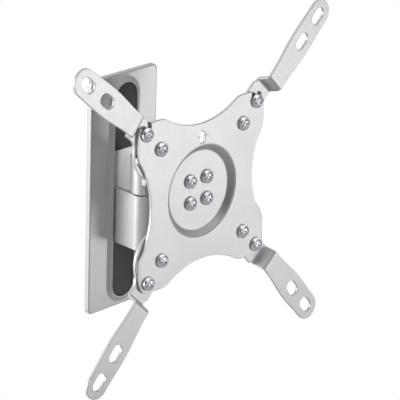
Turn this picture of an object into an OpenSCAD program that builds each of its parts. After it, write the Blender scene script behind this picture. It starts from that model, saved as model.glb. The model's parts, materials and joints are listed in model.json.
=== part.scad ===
// Swivel wall mount for a flat screen.
// A pressed wall plate carries a one-sided hinge bracket. A short knuckle swivels
// on it about a vertical bolt and holds a head that tilts. Four slotted arms turn on the
// head's square of inner screws and are clamped by its outer screws.
// The wall is the plane Y = 0, the screen side is -Y, and +Z is up.

/* [Wall plate] */
// Width of the wall plate
plate_w = 60; // [52:0.5:80]
// Height of the wall plate
plate_h = 166.5; // [150:0.5:200]
// How far the plate's face stands off the wall
plate_d = 4; // [3.5:0.1:7]
// Sheet thickness of the wall plate
plate_t = 1.6; // [1.2:0.1:1.8]
// Corner radius of the wall plate
plate_corner_r = 4; // [3:0.5:8]
// Radius of the plate's rounded front edge
plate_edge_r = 1.2; // [0.6:0.1:2]
// Width of the long recess between the raised rims
recess_w = 19.6; // [19.6:0.1:24]
// Height of the long recess
recess_h = 153; // [140:0.5:160]
// Width of the raised rim round the recess
rim_w = 3.9; // [3:0.1:5]
// Width of the rounded crest of the rim
rim_crest_w = 1.3; // [0.8:0.1:1.8]
// Height of the rim above the plate's face
rim_h = 2.2; // [1:0.1:3]
// Distance between the two wall screws
wall_screw_pitch = 124; // [110:1:130]
// Diameter of the holes for the wall screws
wall_screw_d = 5.5; // [4.5:0.1:6.5]

/* [Recess covers] */
// Clearance between a cover and the recess or the bracket
cover_gap = 0.2; // [0.1:0.05:0.3]
// Wall thickness of the covers
cover_t = 1.4; // [1:0.1:1.6]
// How far the covers stay below the crest of the rim
cover_drop = 1.2; // [0.6:0.1:1.5]

/* [Hinge bracket] */
// Distance from the wall to the swivel axis
swivel_out = 23.5; // [22:0.5:32]
// Outer radius of the two hinge barrels
barrel_r = 9; // [9:0.1:9.7]
// Bottom of the bracket and of its barrel
bracket_bottom = 34.3; // [30:0.1:40]
// Top of the bracket's base
bracket_top = 30; // [24:0.1:36]
// Thickness of the bracket's base and side
bracket_t = 3; // [2.5:0.1:3.5]
// Height at which the two barrels meet
split_z = 4.9; // [2:0.1:8]
// Number of radial teeth on each barrel
teeth = 24; // [12:1:30]
// Depth of the radial teeth
tooth_h = 0.8; // [0.4:0.1:1]
// Running gap between the two rings of teeth
tooth_gap = 0.1; // [0.05:0.05:0.3]
// Radial width of the rings of teeth
tooth_ring_w = 2.6; // [2:0.1:3]
// Number of rivets that hold the bracket
rivets = 4; // [4:1:4]
// Radius of a rivet's shank
rivet_r = 1.6; // [1.2:0.1:2]

/* [Swivel bolt] */
// Thread diameter of the swivel bolt
swivel_bolt_d = 6; // [5:0.5:6]
// Radial thickness of the nylon sleeves in the barrels
sleeve_t = 1.2; // [0.8:0.1:1.5]
// Depth of the pockets for the bolt's head and nut
pocket_h = 8.2; // [8:0.1:10]
// Radius of the pockets for the bolt's head and nut
pocket_r = 6.5; // [6.3:0.1:7]
// Running clearance of a shaft in its hole, on the radius
run_gap = 0.05; // [0.02:0.01:0.08]

/* [Knuckle] */
// Height of the moving barrel
knuckle_h = 25.5; // [22:0.5:30]
// Distance from the swivel axis to the tilt axis
reach = 32; // [30:0.5:45]
// Height of the tilt axis above the plate's centre
tilt_z = 20.35; // [18:0.05:22]
// Outer radius of the tube round the tilt bolt
tube_r = 8.6; // [8:0.1:9]
// Width of the neck between barrel and tube
neck_w = 14; // [10:0.5:18]
// Height of the neck
neck_h = 15; // [12:0.5:16]

/* [Tilting yoke] */
// Width of the yoke over its two ears
yoke_w = 30; // [26:0.5:36]
// Height of the yoke's web
yoke_h = 26; // [24:0.5:30]
// Sheet thickness of the yoke
yoke_t = 3; // [2.5:0.1:4]
// Radius of the rounded ears
ear_r = 9.4; // [9:0.1:10]
// Thread diameter of the tilt bolt
tilt_bolt_d = 6; // [5:0.5:6]
// Thickness of the friction washers beside the tube
friction_t = 0.8; // [0.5:0.1:1.2]
// Radius of the round end caps
cap_r = 10.3; // [10:0.1:12]
// Length of the round end caps
cap_l = 5.4; // [5.4:0.1:8]
// Tilt of the head as it stands at rest
rest_tilt = -2.4; // [-4:0.1:4]

/* [Head plate] */
// Distance from the tilt axis to the front of the head plate
head_out = 22.5; // [21.5:0.5:30]
// Sheet thickness of the head plate
head_t = 2; // [1.5:0.1:2.5]
// Half width over the four corners
corner_reach = 57; // [56:0.1:60]
// Half width at the middle of each side
waist_reach = 46.2; // [44:0.1:50]
// Radius of the hollow sides
hollow_r = 58; // [50:1:80]
// Radius that rounds the shoulders beside the hollow sides
shoulder_r = 12; // [8:0.5:16]
// Radius of the four corners
corner_r = 7.5; // [6:0.1:7.5]
// Pitch of the outer square of screws
outer_pitch = 100; // [98:1:102]
// Pitch of the inner square of screws
inner_pitch = 75; // [74:1:76]
// Width of the open notches in the two upper corners
notch_w = 8.4; // [6:0.1:8.4]
// Radius of the round dish at its lip
dish_r = 30.5; // [28:0.1:30.5]
// Depth of the round dish
dish_d = 4; // [2:0.1:5]
// Run of the dish's sloping wall
dish_slope = 2.6; // [2:0.1:4]
// Radius of the dish's rolled edges
dish_edge_r = 1.6; // [0.8:0.1:2]
// Height of the arrow that shows which way is up
arrow_h = 9; // [6:0.1:10]
// Width of the arrow
arrow_w = 8.4; // [6:0.1:10]
// Height of the arrow's middle above the head's middle
arrow_z = 37.2; // [36:0.1:38]

/* [Screws] */
// Diameter of the pan heads
pan_d = 9.5; // [8:0.1:9.8]
// Height of the pan heads
pan_h = 3.6; // [2.5:0.1:4]
// Thread diameter of the head's screws
screw_d = 5; // [4:0.5:5]
// Clearance of the holes round the screws, on the radius
hole_gap = 0.05; // [0.03:0.01:0.1]
// Pitch of the square of screws in the dish
dish_pitch = 15; // [13:0.5:17]
// Length of the screws in the dish
dish_screw_l = 8; // [6:0.5:9]
// Width across the flats of the small nuts
nut_w = 8; // [8:0.5:9]
// Thickness of the small nuts
nut_t = 4; // [3:0.1:5]

/* [Arms] */
// Sheet thickness of the arms
arm_t = 2; // [1.5:0.1:2.5]
// Radius of the wing that holds an arm's curved slot
wing_r = 21.7; // [21.6:0.1:22]
// Radius of the wing's corner
wing_corner_r = 5; // [3:0.5:6]
// Half width of an arm round its pivot
strap_half_w = 9.6; // [9:0.1:10.5]
// Half width of the neck at the bend
bend_half_w = 7.6; // [7:0.1:8.5]
// Radius between the wing and the neck
neck_fillet_r = 8; // [5:0.5:9]
// Distance from the pivot to the start of the bend
bend_start = 30; // [29.5:0.1:32]
// Length of the sloping stretch along the arm
bend_run = 2.4; // [1.5:0.1:5]
// How far the bend brings the arm forward
bend_step = 8; // [6:0.1:10]
// Inside radius of the two bends
bend_in_r = 1.2; // [0.8:0.1:1.6]
// Distance from the pivot to the inner slotted hole
hole_1_u = 67.6; // [60:0.1:72]
// Distance from the pivot to the outer slotted hole
hole_2_u = 88.5; // [84:0.1:100]
// Width of the slotted holes
hole_w = 8; // [6:0.1:9]
// Length of the slotted holes
hole_l = 12.6; // [9:0.1:14]
// Half width of the arm at its widest
paddle_r = 9.7; // [9:0.1:12]
// Radius of the arm's outer end
tip_r = 9; // [8:0.1:11]
// Metal left beyond the outer hole
tip_margin = 5.5; // [4:0.1:8]
// How far an arm turns upright from its diagonal
swing_upright = 51; // [30:1:54]
// How far an arm turns the other way from its diagonal
swing_flat = 7; // [6:1:9]
// Clearance of the curved slot beside its screw
slot_gap = 0.25; // [0.15:0.05:0.3]

/* [Hidden] */
$fn = 64;
CORNERS = ["tl", "tr", "bl", "br"];
SIDE_X = [-1, 1, -1, 1];
SIDE_Z = [1, 1, -1, -1];
// Angle of each arm from +X towards +Z, as the arms stand at rest
ARM_ANGLE = [139.2, 43.2, 226.3, 310.3];

STEEL = [0.78, 0.79, 0.80];
ZINC = [0.86, 0.88, 0.92];
DARK = [0.16, 0.16, 0.17];
NYLON = [0.92, 0.91, 0.87];

// Room that a cut needs beyond a face
over = 1;
// Levels of the wall plate, from the wall towards the screen
floor_y = -plate_t;
face_y = -plate_d;
crest_y = -(plate_d + rim_h);
cover_y = crest_y + cover_drop;
base_y = floor_y - bracket_t;
// Swivel hinge
bore_r = swivel_bolt_d / 2 + sleeve_t;
knuckle_bottom = split_z + tooth_gap;
knuckle_top = knuckle_bottom + knuckle_h;
washer_t = 1.2;
socket_head_h = 6;
socket_head_r = 5;
swivel_nut_w = 10;
swivel_nut_t = 5.2;
pocket_floor = -bracket_bottom + pocket_h;
head_seat = knuckle_top - pocket_h;
tooth_w = 2 * PI * barrel_r / teeth * 0.96;
tooth_root_r = barrel_r - tooth_ring_w;
// Tilt hinge
tilt_y = -(swivel_out + reach);
ear_x = yoke_w / 2 - yoke_t;
tube_half = ear_x - friction_t;
tilt_head_h = 4;
tilt_nut_w = 10;
tilt_washer_t = 1;
tilt_tip = 0.3;
// Head plate, arms and screws
web_y = head_t + dish_d;
disc_y = head_t;
arm_y = disc_y - bend_step;
slot_r = (outer_pitch - inner_pitch) / 2 * sqrt(2);
slot_half_w = screw_d / 2 + slot_gap;
wing_end_a = 106;
clamp_washer_t = 1;
screw_tip = 0.8;
pivot_screw_l = head_t + arm_t + nut_t + screw_tip;
clamp_screw_l = pivot_screw_l + clamp_washer_t;
rivet_pitch = 15;
rivet_x = 3.8;
rivet_head_r = 2.6;
rivet_head_h = 1.2;

// A flat piece that starts at a level y and reaches back by its thickness
module sheet(y, t) {
    translate([0, y + t, 0]) rotate([90, 0, 0]) linear_extrude(t) children();
}

// A turned piece whose axis points towards the screen
module turned() {
    rotate([90, 0, 0]) rotate_extrude() children();
}

// The frame of the tilting head: y = 0 is the front face of the head plate
module in_head() {
    translate([0, tilt_y, tilt_z]) rotate([rest_tilt, 0, 0]) translate([0, -head_out, 0])
        children();
}

// The frame of one arm: u runs along the arm from its pivot
module in_arm(i) {
    in_head() translate([SIDE_X[i] * inner_pitch / 2, 0, SIDE_Z[i] * inner_pitch / 2])
        rotate([0, -ARM_ANGLE[i], 0]) children();
}

module round_rect(w, h, r) {
    square([w, h - 2 * r], center = true);
    square([w - 2 * r, h], center = true);
    for (x = [-1, 1], y = [-1, 1])
        translate([x * (w / 2 - r), y * (h / 2 - r)]) circle(r);
}

// A slot with round ends that stands upright
module obround(w, h) {
    square([w, h - w], center = true);
    for (y = [-1, 1]) translate([0, y * (h - w) / 2]) circle(w / 2);
}

// A slab with a rounded front edge, standing from the wall to a depth d
module soft_slab(w, h, d, r, edge) {
    sheet(-(d - edge), d - edge) round_rect(w, h, r);
    sheet(-d, d) round_rect(w - 2 * edge, h - 2 * edge, r - edge);
    for (x = [-1, 1]) translate([x * (w / 2 - edge), -(d - edge), 0])
        cylinder(h = h - 2 * r, r = edge, center = true, $fn = 32);
    for (z = [-1, 1]) translate([0, -(d - edge), z * (h / 2 - edge)]) rotate([0, 90, 0])
        cylinder(h = w - 2 * r, r = edge, center = true, $fn = 32);
    for (x = [-1, 1], z = [-1, 1])
        translate([x * (w / 2 - r), -(d - edge), z * (h / 2 - r)]) turned()
            intersection() {
                translate([r - edge, 0]) circle(edge, $fn = 32);
                translate([0, -edge]) square([r, 2 * edge]);
            }
}

// A section swept round the long recess: x is the distance from its middle line
module round_recess(w) {
    straight = recess_h - w;
    for (a = [0, 180]) rotate([0, a, 0]) {
        translate([0, 0, straight / 2]) rotate([90, 0, 0]) rotate_extrude(angle = 180)
            children();
        translate([0, 0, -straight / 2]) linear_extrude(straight) mirror([0, 1]) children();
    }
}

// The rim's section over the plate's face, with a sloping outside and a round crest
module rim_section() {
    r = rim_crest_w / 2;
    slope = atan2(rim_h - r, rim_w - rim_crest_w);
    in = recess_w / 2;
    polygon(concat([[in, 0], [in + plate_t, 0], [in + plate_t, plate_d - plate_t],
                    [in + rim_w, plate_d - plate_t], [in + rim_w, plate_d]],
                   arc(in + r, plate_d + rim_h - r, r, 90 - slope, 180)));
}

module wall_plate() {
    color(STEEL) difference() {
        union() {
            difference() {
                soft_slab(plate_w, plate_h, plate_d, plate_corner_r, plate_edge_r);
                sheet(face_y + plate_t, plate_d)
                    round_rect(plate_w - 2 * plate_t, plate_h - 2 * plate_t,
                               plate_corner_r - plate_t);
            }
            round_recess(recess_w) rim_section();
            sheet(floor_y, plate_t) obround(recess_w + plate_t, recess_h + plate_t);
        }
        sheet(crest_y - over, floor_y - crest_y + over) obround(recess_w, recess_h);
        for (z = [-1, 1]) translate([0, over, z * wall_screw_pitch / 2]) rotate([90, 0, 0])
            cylinder(h = plate_t + 2 * over, r = wall_screw_d / 2);
        for (i = [0 : rivets - 1]) translate([rivet_x, over, rivet_z(i)]) rotate([90, 0, 0])
            cylinder(h = plate_t + 2 * over, r = rivet_r + hole_gap);
    }
}

// A moulded cover: a shallow shell that closes one end of the recess
module cover(near) {
    w = recess_w - 2 * cover_gap;
    h = recess_h - 2 * cover_gap;
    edge = near + cover_gap;
    color(DARK) difference() {
        sheet(cover_y, floor_y - cover_y) intersection() {
            obround(w, h);
            translate([-w / 2, edge]) square([w, h]);
        }
        sheet(cover_y + cover_t, floor_y - cover_y) intersection() {
            obround(w - 2 * cover_t, h - 2 * cover_t);
            translate([-w / 2, edge + cover_t]) square([w, h]);
        }
    }
}

function rivet_z(i) = (i - (rivets - 1) / 2) * rivet_pitch + (bracket_top - bracket_bottom) / 2;

// Radial grooves on a ring face; the grooves open upwards
module grooves(shift) {
    for (i = [0 : teeth - 1]) rotate([90, 0, (i + shift) * 360 / teeth])
        translate([0, 0, tooth_root_r - over]) linear_extrude(tooth_ring_w + 2 * over)
            polygon([[-tooth_w / 2, 0], [0, -tooth_h], [tooth_w / 2, 0],
                     [tooth_w / 2, over], [-tooth_w / 2, over]]);
}

// A barrel on z = 0 with its pocket below, its bore, and its ring of teeth on top
module barrel(height, shift) {
    difference() {
        rotate_extrude() polygon([[pocket_r, 0], [barrel_r, 0], [barrel_r, height],
                                  [tooth_root_r, height], [tooth_root_r, height - tooth_h],
                                  [bore_r, height - tooth_h], [bore_r, pocket_h],
                                  [pocket_r, pocket_h]]);
        translate([0, 0, height]) grooves(shift);
    }
}

// Base on the plate, one side wall, and the lower barrel with its toothed top
module hinge_bracket() {
    height = bracket_bottom + split_z;
    color(STEEL) difference() {
        union() {
            difference() {
                union() {
                    translate([-barrel_r, base_y, -bracket_bottom])
                        cube([2 * barrel_r, bracket_t, bracket_bottom + bracket_top]);
                    translate([-barrel_r, -swivel_out, -bracket_bottom])
                        cube([bracket_t, swivel_out + floor_y, height]);
                }
                translate([0, -swivel_out, -bracket_bottom - over])
                    cylinder(h = height + 2 * over, r = pocket_r + over);
            }
            translate([0, -swivel_out, -bracket_bottom]) barrel(height, 0);
        }
        for (i = [0 : rivets - 1]) translate([rivet_x, 0, rivet_z(i)])
            rotate([90, 0, 0]) rivet_shape(hole_gap, over);
    }
}

// A countersunk rivet from the wall's plane up to the bracket's face
module rivet_shape(gap, beyond) {
    rotate_extrude() polygon([[0, 0], [rivet_r + gap, 0],
                              [rivet_r + gap, -base_y - rivet_head_h],
                              [rivet_head_r + gap, -base_y],
                              [rivet_head_r + gap, -base_y + beyond], [0, -base_y + beyond]]);
}

// Rivet with its shank flush at the back of the plate and its head flush with the bracket
module bracket_rivet(i) {
    color(STEEL) translate([rivet_x, 0, rivet_z(i)]) rotate([90, 0, 0]) rivet_shape(0, 0);
}

// Half section of a domed head that stands on y = 0
module pan(r, h) {
    polygon(concat([[0, 0], [r, 0]],
                   [for (a = [0 : 15 : 90]) [r * cos(a), h * (0.25 + 0.75 * sin(a))]]));
}

module hex(w, t) {
    cylinder(h = t, r = w / 2 / cos(30), $fn = 6);
}

// Socket screw that ties the two barrels together
module swivel_bolt() {
    tip = -bracket_bottom + pocket_h - washer_t - swivel_nut_t - tilt_tip;
    color(DARK) translate([0, -swivel_out, 0]) difference() {
        union() {
            translate([0, 0, tip])
                cylinder(h = head_seat + washer_t - tip, r = swivel_bolt_d / 2);
            translate([0, 0, head_seat + washer_t]) cylinder(h = socket_head_h, r = socket_head_r);
        }
        translate([0, 0, head_seat + washer_t + socket_head_h / 2]) hex(swivel_bolt_d - 1, over * 5);
    }
}

module ring(z, t, outer, inner) {
    translate([0, 0, z]) difference() {
        cylinder(h = t, r = outer);
        translate([0, 0, -over]) cylinder(h = t + 2 * over, r = inner);
    }
}

module swivel_washer(z) {
    color(ZINC) translate([0, -swivel_out, 0])
        ring(z, washer_t, pocket_r - 0.3, swivel_bolt_d / 2 + hole_gap);
}

module swivel_nut() {
    color(ZINC) translate([0, -swivel_out, pocket_floor - washer_t - swivel_nut_t]) difference() {
        hex(swivel_nut_w, swivel_nut_t);
        translate([0, 0, -over])
            cylinder(h = swivel_nut_t + 2 * over, r = swivel_bolt_d / 2 + hole_gap);
    }
}

// Nylon sleeve between a barrel and the bolt
module sleeve(bottom, top) {
    color(NYLON) translate([0, -swivel_out, 0])
        ring(bottom, top - bottom, bore_r - run_gap, swivel_bolt_d / 2 + run_gap);
}

// Cast knuckle: the upper barrel, a neck and the tube for the tilt bolt
module knuckle() {
    color(STEEL) difference() {
        union() {
            translate([0, -swivel_out, knuckle_top]) rotate([180, 0, 0])
                barrel(knuckle_h, 0.5);
            difference() {
                translate([-neck_w / 2, tilt_y, tilt_z - neck_h / 2])
                    cube([neck_w, reach, neck_h]);
                translate([0, -swivel_out, knuckle_bottom])
                    cylinder(h = knuckle_h, r = pocket_r + over);
            }
            translate([0, tilt_y, tilt_z]) rotate([0, 90, 0])
                cylinder(h = 2 * tube_half, r = tube_r, center = true);
        }
        translate([0, tilt_y, tilt_z]) rotate([0, 90, 0])
            cylinder(h = yoke_w, r = tilt_bolt_d / 2 + run_gap, center = true);
    }
}

// Bent yoke: a web behind the dish and two ears with round ends
module tilt_yoke() {
    color(STEEL) in_head() difference() {
        union() {
            sheet(web_y, yoke_t) square([yoke_w, yoke_h], center = true);
            for (x = [-1, 1]) translate([x * (yoke_w - yoke_t) / 2, 0, 0]) {
                translate([0, head_out, 0]) rotate([0, 90, 0])
                    cylinder(h = yoke_t, r = ear_r, center = true);
                translate([0, web_y, 0]) rotate([90, 0, 90]) linear_extrude(yoke_t, center = true)
                    polygon([[0, -yoke_h / 2], [yoke_t, -yoke_h / 2],
                             [head_out - web_y, -ear_r], [head_out - web_y, ear_r],
                             [yoke_t, yoke_h / 2], [0, yoke_h / 2]]);
            }
        }
        translate([0, head_out, 0]) rotate([0, 90, 0])
            cylinder(h = yoke_w + 2 * over, r = tilt_bolt_d / 2 + hole_gap, center = true);
        for (x = [-1, 1], z = [-1, 1])
            translate([x * dish_pitch / 2, web_y + yoke_t + over, z * dish_pitch / 2])
                rotate([90, 0, 0]) cylinder(h = yoke_t + 2 * over, r = screw_d / 2 + hole_gap);
    }
}

// Places a piece on the tilt axis, with z pointing to the right
module on_tilt_axis() {
    in_head() translate([0, head_out, 0]) rotate([0, 90, 0]) children();
}

module tilt_bolt() {
    half = yoke_w / 2;
    color(ZINC) on_tilt_axis() {
        translate([0, 0, -half])
            cylinder(h = 2 * half + tilt_head_h + tilt_tip, r = tilt_bolt_d / 2);
        translate([0, 0, -half - tilt_head_h]) hex(tilt_nut_w, tilt_head_h);
    }
}

module tilt_washer() {
    color(ZINC) on_tilt_axis()
        ring(yoke_w / 2, tilt_washer_t, tilt_nut_w / 2 + 0.8, tilt_bolt_d / 2 + hole_gap);
}

module tilt_nut() {
    color(ZINC) on_tilt_axis() translate([0, 0, yoke_w / 2 + tilt_washer_t]) difference() {
        hex(tilt_nut_w, tilt_head_h - tilt_washer_t + 0.2);
        translate([0, 0, -over])
            cylinder(h = tilt_head_h + 2 * over, r = tilt_bolt_d / 2 + hole_gap);
    }
}

module friction_washer(side) {
    color(NYLON) on_tilt_axis()
        ring(side > 0 ? tube_half : -ear_x, friction_t, tube_r - 0.6,
             tilt_bolt_d / 2 + run_gap);
}

// Round plastic cap that hides the end of the tilt bolt
module end_cap(side) {
    wall = 1.2;
    color(DARK) on_tilt_axis() mirror([0, 0, side > 0 ? 0 : 1]) translate([0, 0, yoke_w / 2])
        rotate_extrude() difference() {
            union() {
                square([cap_r, cap_l - wall]);
                square([cap_r - wall, cap_l]);
                translate([cap_r - wall, cap_l - wall]) circle(wall, $fn = 32);
            }
            translate([-over, -over])
                square([cap_r - 2 * wall + over, cap_l - wall + 0.4 * wall + over]);
            translate([-over, -over]) square([over, cap_l + 2 * over]);
        }
}

// What one hollow side takes from the head plate, with its two rounded shoulders
module hollow_side() {
    mid = waist_reach + hollow_r;
    px = corner_reach - shoulder_r;
    py = sqrt(pow(hollow_r + shoulder_r, 2) - pow(mid - px, 2));
    k = hollow_r / (hollow_r + shoulder_r);
    tx = mid - (mid - px) * k;
    translate([mid, 0]) circle(hollow_r, $fn = 128);
    difference() {
        polygon([[corner_reach + over, py], [px, py], [tx, py * k],
                 [tx, -py * k], [px, -py], [corner_reach + over, -py]]);
        for (s = [-1, 1]) translate([px, s * py]) circle(shoulder_r);
    }
}

module head_outline() {
    difference() {
        round_rect(2 * corner_reach, 2 * corner_reach, corner_r);
        for (a = [0 : 90 : 270]) rotate(a) hollow_side();
        for (x = [-1, 1]) {
            translate([x * outer_pitch / 2, outer_pitch / 2]) circle(notch_w / 2);
            translate([x * outer_pitch / 2 - notch_w / 2, outer_pitch / 2])
                square([notch_w, corner_reach]);
            translate([x * outer_pitch / 2, -outer_pitch / 2])
                circle(screw_d / 2 + hole_gap);
        }
        for (x = [-1, 1], z = [-1, 1])
            translate([x * inner_pitch / 2, z * inner_pitch / 2])
                circle(screw_d / 2 + hole_gap);
        translate([0, arrow_z]) up_arrow();
        circle(dish_r + dish_edge_r);
    }
}

module up_arrow() {
    h = arrow_h / 2;
    w = arrow_w / 2;
    polygon([[0, h], [w, h - w], [w / 2, h - w], [w / 2, -h], [-w / 2, -h],
             [-w / 2, h - w], [-w, h - w]]);
}

// Half section of the pressed dish, from its lip to its floor
function arc(x, y, r, a, b, n = 6) =
    [for (i = [0 : n]) let (t = a + (b - a) * i / n) [x + r * cos(t), y + r * sin(t)]];

module dish_section() {
    fall = atan2(dish_d, dish_slope);
    outer = dish_r + dish_edge_r;
    inner = dish_r - dish_slope - dish_edge_r;
    lip_r = dish_edge_r;
    hug_r = dish_edge_r + head_t;
    polygon(concat(
        [[outer + over / 4, 0]],
        arc(outer, -hug_r, hug_r, 90, 90 + fall * 0.72),
        arc(inner, -dish_d + lip_r, lip_r, -90 + fall * 0.72, -90),
        [[0, -dish_d], [0, -dish_d - head_t]],
        arc(inner, -dish_d - head_t + hug_r, hug_r, -90, -90 + fall * 0.72),
        arc(outer, -head_t - lip_r, lip_r, 90 + fall * 0.72, 90),
        [[outer + over / 4, -head_t]]));
}

module head_plate() {
    color(STEEL) in_head() difference() {
        union() {
            sheet(0, head_t) head_outline();
            turned() dish_section();
        }
        for (x = [-1, 1], z = [-1, 1])
            translate([x * dish_pitch / 2, web_y + over, z * dish_pitch / 2])
                rotate([90, 0, 0]) cylinder(h = head_t + 2 * over, r = screw_d / 2 + hole_gap);
    }
}

// Pan head screw whose head sits on the plane y = 0 and whose shank runs back
module pan_screw(l) {
    slot_w = 1;
    slot_l = pan_d * 0.5;
    slot_d = pan_h * 0.55;
    color(ZINC) rotate([90, 0, 0]) difference() {
        union() {
            rotate_extrude() pan(pan_d / 2, pan_h);
            translate([0, 0, -l]) cylinder(h = l + pan_h / 4, r = screw_d / 2);
        }
        for (a = [45, 135]) rotate(a) translate([-slot_l / 2, -slot_w / 2, pan_h - slot_d])
            cube([slot_l, slot_w, pan_h]);
    }
}

module dish_screw(i) {
    in_head() translate([SIDE_X[i] * dish_pitch / 2, dish_d, SIDE_Z[i] * dish_pitch / 2])
        pan_screw(dish_screw_l);
}

// Places a piece on a square of screws, with y = 0 on the head plate's front
module on_square(i, pitch) {
    in_head() translate([SIDE_X[i] * pitch / 2, 0, SIDE_Z[i] * pitch / 2]) children();
}

module small_nut(y) {
    color(ZINC) translate([0, y + nut_t, 0]) rotate([90, 0, 0]) difference() {
        hex(nut_w, nut_t);
        translate([0, 0, -over]) cylinder(h = nut_t + 2 * over, r = screw_d / 2 + hole_gap);
    }
}

module clamp_washer(i) {
    color(ZINC) on_square(i, outer_pitch) translate([0, head_t + arm_t, 0]) rotate([-90, 0, 0])
        ring(0, clamp_washer_t, pan_d / 2 + 0.2, screw_d / 2 + hole_gap);
}

// An arm's outline with its wing at v > 0: the tip, the paddle, the neck, the wing with
// its rounded corner, the round heel behind the pivot, and back along the strap
function arm_points() =
    let (tip_u = hole_2_u + hole_l / 2 + tip_margin - tip_r,
         neck_u = bend_start + bend_run + 2 * arm_t,
         fillet_v = bend_half_w + neck_fillet_r,
         fillet_u = sqrt(pow(wing_r + neck_fillet_r, 2) - pow(fillet_v, 2)),
         fillet_a = atan2(fillet_v, fillet_u),
         corner_u = wing_r - wing_corner_r,
         heel_a = wing_end_a + acos((strap_half_w - wing_corner_r) / corner_u),
         paddle = [for (i = [0 : 7]) soft_step(i / 8, neck_u, bend_half_w, hole_1_u, paddle_r)],
         narrow = [for (i = [0 : 3]) soft_step(i / 4, hole_1_u, paddle_r, tip_u, tip_r)],
         upper = concat(paddle, narrow))
    concat(arc(tip_u, 0, tip_r, -90, 90, 18),
           [for (i = [len(upper) - 1 : -1 : 0]) upper[i]],
           arc(fillet_u, fillet_v, neck_fillet_r, 270, 180 + fillet_a, 6),
           [for (i = [1 : 19]) let (a = fillet_a + (wing_end_a - fillet_a) * i / 20)
               [wing_r * cos(a), wing_r * sin(a)]],
           arc(corner_u * cos(wing_end_a), corner_u * sin(wing_end_a), wing_corner_r,
               wing_end_a, heel_a, 8),
           arc(0, 0, strap_half_w, heel_a, 270, 12),
           [for (i = [0 : 4])
               let (p = soft_step(i / 4, bend_start - 4.3, strap_half_w,
                                  bend_start - 1.3, bend_half_w)) [p[0], -p[1]]],
           [for (p = upper) [p[0], -p[1]]]);

// A point on a soft S between two half widths
function soft_step(k, u1, v1, u2, v2) =
    [u1 + (u2 - u1) * k, v1 + (v2 - v1) * (1 - cos(180 * k)) / 2];

module arm_outline(wing) {
    scale([1, wing]) difference() {
        polygon(arm_points());
        circle(screw_d / 2 + run_gap);
        curved_slot();
        for (u = [hole_1_u, hole_2_u]) translate([u, 0]) rotate(90) obround(hole_w, hole_l);
    }
}

// Slot round the pivot for the clamp screw, long enough for the arm's swing
module curved_slot() {
    a = -swing_flat - 1;
    b = swing_upright + 1;
    sweep = arc(0, 0, slot_r + slot_half_w, a, b, 20);
    far = arc(slot_r * cos(b), slot_r * sin(b), slot_half_w, b, b + 180, 12);
    back = arc(0, 0, slot_r - slot_half_w, b, a, 20);
    near = arc(slot_r * cos(a), slot_r * sin(a), slot_half_w, a + 180, a + 360, 12);
    polygon(concat(sweep, [for (i = [1 : 11]) far[i]], back, [for (i = [1 : 11]) near[i]]));
}

// The bent sheet seen from its side, cut to the arm's outline
module arm(i) {
    slope = atan2(bend_step, bend_run);
    end = hole_2_u + wing_r;
    far = bend_start + bend_run;
    r = bend_in_r;
    big = r + arm_t;
    near = bend_start - r * tan(slope / 2);
    level = far + big * tan(slope / 2);
    color(STEEL) in_arm(i) intersection() {
        sheet(arm_y - over, bend_step + arm_t + 2 * over)
            arm_outline(-SIDE_X[i] * SIDE_Z[i]);
        translate([0, 0, -wing_r - over]) linear_extrude(2 * (wing_r + over))
            polygon(concat([[-wing_r - over, disc_y]],
                           arc(near, disc_y - r, r, 90, 90 - slope),
                           arc(level, arm_y + big, big, -90 - slope, -90),
                           [[end, arm_y], [end, arm_y + arm_t]],
                           arc(level, arm_y + big, r, -90, -90 - slope),
                           arc(near, disc_y - r, big, 90 - slope, 90),
                           [[-wing_r - over, disc_y + arm_t]]));
    }
}

wall_plate();
cover(bracket_top);  // cover_upper
rotate([0, 180, 0]) cover(bracket_bottom);  // cover_lower
hinge_bracket();
for (i = [0 : rivets - 1])
    bracket_rivet(i);
swivel_bolt();
swivel_washer(head_seat);  // swivel_washer_top
swivel_washer(pocket_floor - washer_t);  // swivel_washer_bottom
swivel_nut();
sleeve(pocket_floor, split_z - tooth_h);  // sleeve_lower
sleeve(knuckle_bottom + tooth_h, head_seat);  // sleeve_upper
knuckle();
tilt_yoke();
tilt_bolt();
tilt_nut();
tilt_washer();
friction_washer(-1);  // friction_washer_left
friction_washer(1);  // friction_washer_right
end_cap(-1);  // end_cap_left
end_cap(1);  // end_cap_right
head_plate();
for (i = [0 : 3]) {
    dish_screw(i);
    on_square(i, inner_pitch) pan_screw(pivot_screw_l);
    on_square(i, inner_pitch) small_nut(head_t + arm_t);
    on_square(i, outer_pitch) pan_screw(clamp_screw_l);
    clamp_washer(i);
    on_square(i, outer_pitch) small_nut(head_t + arm_t + clamp_washer_t);
    arm(i);
}
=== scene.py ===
import json
import math

import bpy
from mathutils import Matrix, Vector


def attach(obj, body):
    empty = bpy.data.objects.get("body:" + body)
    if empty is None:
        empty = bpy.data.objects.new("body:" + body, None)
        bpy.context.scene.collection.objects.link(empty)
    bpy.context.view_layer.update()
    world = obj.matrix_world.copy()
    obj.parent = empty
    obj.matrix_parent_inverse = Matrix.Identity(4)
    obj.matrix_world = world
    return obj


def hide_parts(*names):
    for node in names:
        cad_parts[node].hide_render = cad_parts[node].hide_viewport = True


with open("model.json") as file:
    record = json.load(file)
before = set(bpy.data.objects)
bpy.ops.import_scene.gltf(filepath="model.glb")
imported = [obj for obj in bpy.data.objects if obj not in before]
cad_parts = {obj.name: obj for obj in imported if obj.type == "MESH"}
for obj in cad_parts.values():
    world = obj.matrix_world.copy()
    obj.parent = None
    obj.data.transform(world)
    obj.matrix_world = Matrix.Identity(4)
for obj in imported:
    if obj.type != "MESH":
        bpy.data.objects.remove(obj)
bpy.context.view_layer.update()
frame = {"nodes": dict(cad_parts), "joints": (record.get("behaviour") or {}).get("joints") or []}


# Camera and studio

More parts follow.
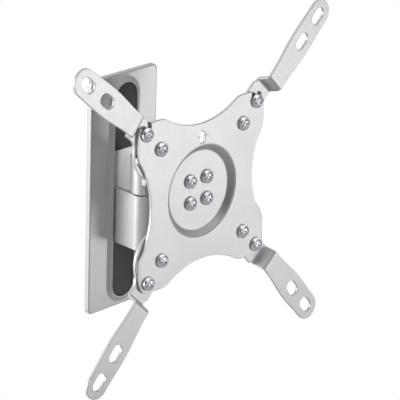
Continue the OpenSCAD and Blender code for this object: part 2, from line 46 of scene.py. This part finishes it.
# The mount hangs in front of a white sweep and is seen from its left, a little above.
# A soft panel stands on the right, one behind on the left and one overhead. Gloss also
# sees a dark card on the front's left, which draws the rolled edges and screw rims.

camera_lens = 209.22
camera_place = Vector((-1.009626, -1.043193, 0.568161))
camera_aim = Vector((0.0, -0.0758, 0.01453))
camera_roll = math.radians(1.963)
panel_aim = Vector((0, -0.05, 0))

scene = bpy.context.scene
bpy.ops.object.select_all(action="DESELECT")
camera_data = bpy.data.cameras.new("camera")
camera_data.sensor_width = 36.0
camera_data.lens = camera_lens
camera_data.clip_end = 50.0
camera = bpy.data.objects.new("camera", camera_data)
scene.collection.objects.link(camera)
camera_turn = (camera_aim - camera_place).to_track_quat("-Z", "Y").to_matrix()
camera.matrix_world = (Matrix.Translation(camera_place)
                       @ (camera_turn @ Matrix.Rotation(camera_roll, 3, "Z")).to_4x4())
scene.camera = camera
scene.view_settings.view_transform = "Standard"


def soft_panel(name, place, width, height, power):
    """A rectangular area lamp at a place, turned towards the mount."""
    data = bpy.data.lights.new(name, "AREA")
    data.shape = "RECTANGLE"
    data.size, data.size_y, data.energy = width, height, power
    panel = bpy.data.objects.new(name, data)
    scene.collection.objects.link(panel)
    panel.location = place
    panel.rotation_euler = (panel_aim - Vector(place)).to_track_quat("-Z", "Y").to_euler()


soft_panel("right_panel", (1.0, -1.35, -0.26), width=0.6, height=0.6, power=7.4)
soft_panel("left_panel", (-1.3, 0.55, 0.1), width=0.9, height=1.0, power=20.0)
soft_panel("overhead_panel", (0.1, -0.15, 1.5), width=0.7, height=0.7, power=4.0)


class Socket:
    """A shader socket that adds Math nodes when it is used in an expression."""

    def __init__(self, tree, socket=None):
        self.tree, self.socket = tree, socket

    def node(self, kind, settings=None, values=None, output=0):
        """Adds a node, applies its settings first, then its sockets' values or links."""
        made = self.tree.nodes.new(kind)
        for name, value in (settings or {}).items():
            if name == "stops":
                for stop, (place, colour) in zip(made.color_ramp.elements, value):
                    stop.position, stop.color = place, (*colour, 1.0)
            else:
                setattr(made, name, value)
        for key, value in (values or {}).items():
            if isinstance(value, Socket):
                self.tree.links.new(value.socket, made.inputs[key])
            else:
                made.inputs[key].default_value = value
        return Socket(self.tree, made.outputs[output] if made.outputs else None)

    def beside(self, output):
        """Another output of the node that this socket is on."""
        return Socket(self.tree, self.socket.node.outputs[output])

    def math(self, operation, left, right):
        return self.node("ShaderNodeMath", {"operation": operation}, {0: left, 1: right})

    def larger(self, other):
        return self.math("MAXIMUM", self, other)

    def __add__(self, other):
        return self.math("ADD", self, other)

    def __radd__(self, other):
        return self.math("ADD", other, self)

    def __sub__(self, other):
        return self.math("SUBTRACT", self, other)

    def __rsub__(self, other):
        return self.math("SUBTRACT", other, self)

    def __mul__(self, other):
        return self.math("MULTIPLY", self, other)

    def __rmul__(self, other):
        return self.math("MULTIPLY", other, self)


# The room is white to the camera and through anything clear. Gloss sees it with its two
# cards, and all other light from it is dim, so that pale paint keeps its tone.
room_light = 0.1
white = (1, 1, 1, 1)
room = bpy.data.worlds.new("white_room")
room.use_nodes = True
room.node_tree.nodes.clear()
scene.world = room
looking = Socket(room.node_tree).node("ShaderNodeTexCoord", output="Generated")


def card_in_room(direction, rim, middle, around, shade):
    """Brightness of the room with a soft card in it. Rim and middle are cosines."""
    facing = looking.node("ShaderNodeVectorMath", {"operation": "DOT_PRODUCT"},
                          {0: looking, 1: direction}, output="Value")
    return facing.node("ShaderNodeMapRange", {"interpolation_type": "SMOOTHSTEP"},
                       {"Value": facing, "From Min": rim, "From Max": middle,
                        "To Min": around, "To Max": shade})


dark_card = card_in_room((-0.67, -0.64, 0.37), rim=0.74, middle=0.97,
                         around=0.95, shade=0.04)
grey_card = card_in_room((0.67, -0.67, -0.31), rim=0.45, middle=0.9,
                         around=1.0, shade=0.2)
in_view = looking.node("ShaderNodeLightPath", output="Is Camera Ray")
in_gloss = in_view.beside("Is Glossy Ray")
through = in_view.beside("Is Transmission Ray")
strength = in_view.larger(through) * (1.0 - in_gloss) + in_gloss * (dark_card * grey_card)
strength = strength.larger((1.0 - in_gloss) * room_light)
sky = strength.node("ShaderNodeBackground", {}, {"Color": white, "Strength": strength})
sky.node("ShaderNodeOutputWorld", {}, {"Surface": sky})


def new_material(name):
    """An empty node material, and the Object coordinates to build it from."""
    material = bpy.data.materials.new(name)
    material.use_nodes = True
    material.node_tree.nodes.clear()
    return material, Socket(material.node_tree).node("ShaderNodeTexCoord", output="Object")


floor_drop = 0.55
floor_side = 6.0
floor_white = (0.86, 0.86, 0.86, 1)
bpy.ops.mesh.primitive_plane_add(size=floor_side, location=(0, 0, -floor_drop))
floor = bpy.context.object
floor.name = "floor"
floor_material, at = new_material("floor_white")
pale = at.node("ShaderNodeBsdfPrincipled", {}, {"Base Color": floor_white, "Roughness": 0.9})
glow = at.node("ShaderNodeEmission", {}, {"Color": white, "Strength": 1.0})
to_camera = at.node("ShaderNodeLightPath", output="Is Camera Ray")
mixed = at.node("ShaderNodeMixShader", {}, {0: to_camera, 1: pale, 2: glow})
mixed.node("ShaderNodeOutputMaterial", {}, {"Surface": mixed})
floor.data.materials.append(floor_material)


# Wall plate

# A plate pressed from steel sheet, with a rolled edge and a raised rim round its long
# recess. It is powder coated in a satin silver grey. It is screwed to the wall.

nodes = frame["nodes"]
silver = (0.60, 0.60, 0.605)
plate_edge = 0.00035
merge_distance = 0.000002
flat_angle = math.radians(0.6)
roll_angle = math.radians(28.0)
roll_steps = 2
smooth_angle = math.radians(40.0)
face_weight = 100


def noise(at, scale, detail, rough=0.5):
    """A noise pattern on the piece's coordinates, with about `scale` grains in a metre."""
    return at.node("ShaderNodeTexNoise", {}, {"Vector": at, "Scale": scale,
                                              "Detail": detail, "Roughness": rough})


def shade(colour, times):
    """A colour made darker or lighter, and never lighter than white."""
    return tuple(min(1.0, part * times) for part in colour)


def tinted(pattern, spread, dark, light):
    """A colour that follows a pattern from dark to light, `spread` round its middle."""
    stops = [(0.5 - spread, dark), (0.5 + spread, light)]
    return pattern.node("ShaderNodeValToRGB", {"stops": stops}, {"Fac": pattern})


def paint_material(name, colour, grain=0.35, rough=0.4, metal=0.42):
    """Silver powder coat: fine metal flakes, a light orange peel and a satin gloss."""
    material, at = new_material(name)
    flakes = noise(at, scale=2600.0, detail=2.0, rough=0.6)
    peel = noise(at, scale=620.0, detail=2.0)
    cloud = noise(at, scale=28.0, detail=3.0, rough=0.55)
    tone = flakes * 0.55 + cloud * 0.45
    tint = tinted(tone, 0.18, shade(colour, 0.93), shade(colour, 1.05))
    gloss = rough - 0.05 + peel * 0.1
    bump = at.node("ShaderNodeBump", {}, {"Strength": grain, "Distance": 0.00006,
                                          "Height": peel + flakes * 0.35})
    shader = at.node("ShaderNodeBsdfPrincipled", {},
                     {"Base Color": tint, "Metallic": metal, "Roughness": gloss,
                      "Normal": bump})
    shader.node("ShaderNodeOutputMaterial", {}, {"Surface": shader})
    return material


def finish(node, body, material, edge):
    """A merged copy of a CAD node with its sharp edges rolled over by `edge` metres."""
    bpy.ops.object.select_all(action="DESELECT")
    piece = nodes[node].copy()
    piece.data = nodes[node].data.copy()
    piece.name = node + "_finished"
    for key in list(piece.keys()):
        del piece[key]
    piece.parent = None
    scene.collection.objects.link(piece)
    bpy.context.view_layer.objects.active = piece
    piece.select_set(True)
    bpy.ops.object.mode_set(mode="EDIT")
    bpy.ops.mesh.select_all(action="SELECT")
    bpy.ops.mesh.remove_doubles(threshold=merge_distance)
    bpy.ops.mesh.dissolve_limited(angle_limit=flat_angle)
    bpy.ops.object.mode_set(mode="OBJECT")
    if edge:
        bevel = piece.modifiers.new("rolled_edge", "BEVEL")
        bevel.width = edge
        bevel.segments = roll_steps
        bevel.limit_method = "ANGLE"
        bevel.angle_limit = roll_angle
        bevel.use_clamp_overlap = False
        bpy.ops.object.modifier_apply(modifier=bevel.name)
    bpy.ops.object.shade_smooth_by_angle(angle=smooth_angle)
    level = piece.modifiers.new("level_faces", "WEIGHTED_NORMAL")
    level.keep_sharp = True
    level.weight = face_weight
    bpy.ops.object.modifier_apply(modifier=level.name)
    piece.data.materials.clear()
    piece.data.materials.append(material)
    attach(piece, body)
    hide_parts(node)
    return piece


paint = paint_material("silver_paint", silver)
finish("wall_plate", "wall", paint, plate_edge)


# Recess covers

# Two black mouldings that snap into the ends of the recess over the wall screws.
# Matt ABS with a fine spark grain.

cover_black = (0.026, 0.026, 0.028)
cover_edge = 0.0005


def moulded_material(name, colour, rough, grain):
    """Moulded plastic with a spark-eroded grain."""
    material, at = new_material(name)
    spark = noise(at, scale=1500.0, detail=3.0, rough=0.65)
    flow = noise(at, scale=60.0, detail=2.0)
    tone = spark * 0.6 + flow * 0.4
    tint = tinted(tone, 0.15, shade(colour, 0.85), shade(colour, 1.15))
    gloss = rough - 0.06 + spark * 0.12
    bump = at.node("ShaderNodeBump", {}, {"Strength": grain, "Distance": 0.00008,
                                          "Height": spark})
    shader = at.node("ShaderNodeBsdfPrincipled", {},
                     {"Base Color": tint, "Roughness": gloss, "Normal": bump})
    shader.node("ShaderNodeOutputMaterial", {}, {"Surface": shader})
    return material


cover_plastic = moulded_material("black_moulding", cover_black, rough=0.5, grain=0.5)
for cover in ("cover_upper", "cover_lower"):
    finish(cover, "wall", cover_plastic, cover_edge)


# Hinge bracket and knuckle

# The bracket is riveted in the recess and ends in the lower barrel. The cast knuckle
# sits on it, tooth on tooth, and both have the plate's silver paint.

casting_edge = 0.00025
hinge_paint = paint_material("silver_paint_on_castings", shade(silver, 0.97),
                             grain=0.5, rough=0.38, metal=0.5)
finish("hinge_bracket", "wall", hinge_paint, casting_edge)
finish("knuckle", "swivel", hinge_paint, casting_edge)


# Bolts, washers and rivets

# Cold-formed steel in a bright zinc plate that is faintly blue, and a black swivel bolt.
# The sleeves and friction washers are natural nylon. The rivets lie flush in the bracket
# and are painted with it.

zinc_blue = (0.90, 0.93, 0.97)
oxide_black = (0.05, 0.05, 0.055)
nylon_cream = (0.80, 0.78, 0.72)
bolt_edge = 0.0003
fastener_edge = 0.00015
nylon_edge = 0.0001


def plated_material(name, colour, rough):
    """Plate over turned steel, with faint spangle and wear."""
    material, at = new_material(name)
    spangle = noise(at, scale=900.0, detail=3.0, rough=0.6)
    wear = noise(at, scale=240.0, detail=2.0)
    tone = spangle * 0.5 + wear * 0.5
    tint = tinted(tone, 0.2, shade(colour, 0.86), colour)
    gloss = rough - 0.06 + wear * 0.12
    bump = at.node("ShaderNodeBump", {}, {"Strength": 0.25, "Distance": 0.00004,
                                          "Height": spangle})
    shader = at.node("ShaderNodeBsdfPrincipled", {},
                     {"Base Color": tint, "Metallic": 1.0, "Roughness": gloss,
                      "Normal": bump})
    shader.node("ShaderNodeOutputMaterial", {}, {"Surface": shader})
    return material


zinc = plated_material("bright_zinc", zinc_blue, rough=0.22)
black_oxide = plated_material("black_oxide", oxide_black, rough=0.42)
nylon = moulded_material("natural_nylon", nylon_cream, rough=0.5, grain=0.15)
for number in (1, 2, 3, 4):
    finish(f"bracket_rivet_{number}", "wall", hinge_paint, 0)
finish("swivel_bolt", "wall", black_oxide, bolt_edge)
for part in ("swivel_washer_top", "swivel_washer_bottom", "swivel_nut"):
    finish(part, "wall", zinc, fastener_edge)
finish("sleeve_lower", "wall", nylon, nylon_edge)
finish("sleeve_upper", "swivel", nylon, nylon_edge)
for part in ("tilt_bolt", "tilt_nut", "tilt_washer"):
    finish(part, "head", zinc, fastener_edge)
for part in ("friction_washer_left", "friction_washer_right"):
    finish(part, "head", nylon, nylon_edge)


# Yoke and end caps

# The bent yoke is painted like the plates. Two round caps of black plastic are pushed on
# from the sides and hide the ends of its bolt.

cap_black = (0.045, 0.045, 0.048)
yoke_edge = 0.0003
cap_edge = 0.0002
finish("tilt_yoke", "head", paint, yoke_edge)
cap_plastic = moulded_material("black_cap", cap_black, rough=0.42, grain=0.35)
for cap in ("end_cap_left", "end_cap_right"):
    finish(cap, "head", cap_plastic, cap_edge)


# Head plate and arms

# Blanked and pressed from 2 mm sheet, then painted. The arms turn behind the plate and
# step forward past its corners.

corners = ("tl", "tr", "bl", "br")
sheet_edge = 0.00038
finish("head_plate", "head", paint, sheet_edge)
for corner in corners:
    finish("arm_" + corner, "arm_" + corner, paint, sheet_edge)


# Head screws, washers and nuts

# Pan-head screws with a cross recess, plain washers and hex nuts, all in bright zinc.
# Four hold the dish, four are the arms' pivots and four clamp the arms. A rolled thread
# runs in from each tip, and the nuts' corners are turned off at both faces.

arm_joint = next(joint for joint in frame["joints"] if joint["name"] == "arm_turn_tl")
screw_axis = Vector(arm_joint["axis"]).normalized()
thread_r = 0.0025
thread_pitch = 0.0008
thread_turns = 9
thread_steps = 24
thread_depth = 0.0004
groove_r = thread_r + thread_depth * 0.3
nut_corner_r = 0.00462
nut_chamfer = 0.00045
washer_edge = 0.0002
same_level = 0.00002
cut_smooth_angle = math.radians(35.0)


def end_of(piece, direction):
    """The middle of a piece's last face along a direction, and the piece's reach."""
    along = [v.co.dot(direction) for v in piece.data.vertices]
    last = max(along)
    rim = [v.co for v, a in zip(piece.data.vertices, along) if a > last - same_level]
    low = Vector([min(c[i] for c in rim) for i in range(3)])
    high = Vector([max(c[i] for c in rim) for i in range(3)])
    return (low + high) / 2, last - min(along)


def cut_with(piece, tool, operation):
    """Applies a boolean with a tool object, then removes the tool."""
    boolean = piece.modifiers.new("cut", "BOOLEAN")
    boolean.operation, boolean.solver, boolean.object = operation, "EXACT", tool
    bpy.ops.object.select_all(action="DESELECT")
    bpy.context.view_layer.objects.active = piece
    piece.select_set(True)
    bpy.ops.object.modifier_apply(modifier=boolean.name)
    bpy.data.objects.remove(tool)
    bpy.ops.object.shade_smooth_by_angle(angle=cut_smooth_angle)


def along_axis(tool, foot, direction):
    """Stands a tool that was made round Z on a foot point, along a direction."""
    turn = direction.to_track_quat("Z", "Y").to_matrix().to_4x4()
    tool.matrix_world = Matrix.Translation(foot) @ turn
    bpy.ops.object.transform_apply(location=True, rotation=True, scale=True)


def thread(piece):
    """Cuts a helical groove into the shank, from the tip towards the head."""
    tip, _ = end_of(piece, -screw_axis)
    bpy.ops.object.select_all(action="DESELECT")
    bpy.ops.mesh.primitive_circle_add(vertices=3, radius=thread_depth, fill_type="NOTHING",
                                      location=(groove_r, 0, 0),
                                      rotation=(math.pi / 2, -math.pi / 2, 0))
    tool = bpy.context.object
    bpy.ops.object.transform_apply(location=True, rotation=True, scale=True)
    helix = tool.modifiers.new("helix", "SCREW")
    helix.axis, helix.screw_offset = "Z", thread_pitch
    helix.iterations = thread_turns
    helix.steps = helix.render_steps = thread_steps
    bpy.ops.object.modifier_apply(modifier=helix.name)
    bpy.ops.object.mode_set(mode="EDIT")
    bpy.ops.mesh.select_all(action="SELECT")
    bpy.ops.mesh.fill_holes(sides=4)
    bpy.ops.mesh.normals_make_consistent(inside=False)
    bpy.ops.object.mode_set(mode="OBJECT")
    along_axis(tool, tip - screw_axis * thread_pitch, screw_axis)
    cut_with(piece, tool, "DIFFERENCE")


def chamfer_nut(piece):
    """Turns the corners off a hex nut at both of its faces."""
    foot, height = end_of(piece, -screw_axis)
    bpy.ops.object.select_all(action="DESELECT")
    bpy.ops.mesh.primitive_cylinder_add(vertices=64, radius=nut_corner_r, depth=height,
                                        location=(0, 0, height / 2))
    tool = bpy.context.object
    bpy.ops.object.transform_apply(location=True, rotation=True, scale=True)
    turned = tool.modifiers.new("turned", "BEVEL")
    turned.width, turned.segments, turned.limit_method = nut_chamfer, 1, "ANGLE"
    bpy.ops.object.modifier_apply(modifier=turned.name)
    along_axis(tool, foot, screw_axis)
    cut_with(piece, tool, "INTERSECT")


for corner in corners:
    for part in ("dish_screw_", "pivot_screw_", "clamp_screw_"):
        thread(finish(part + corner, "head", zinc, fastener_edge))
    for part in ("pivot_nut_", "clamp_nut_"):
        chamfer_nut(finish(part + corner, "head", zinc, 0))
    finish("clamp_washer_" + corner, "head", zinc, washer_edge)
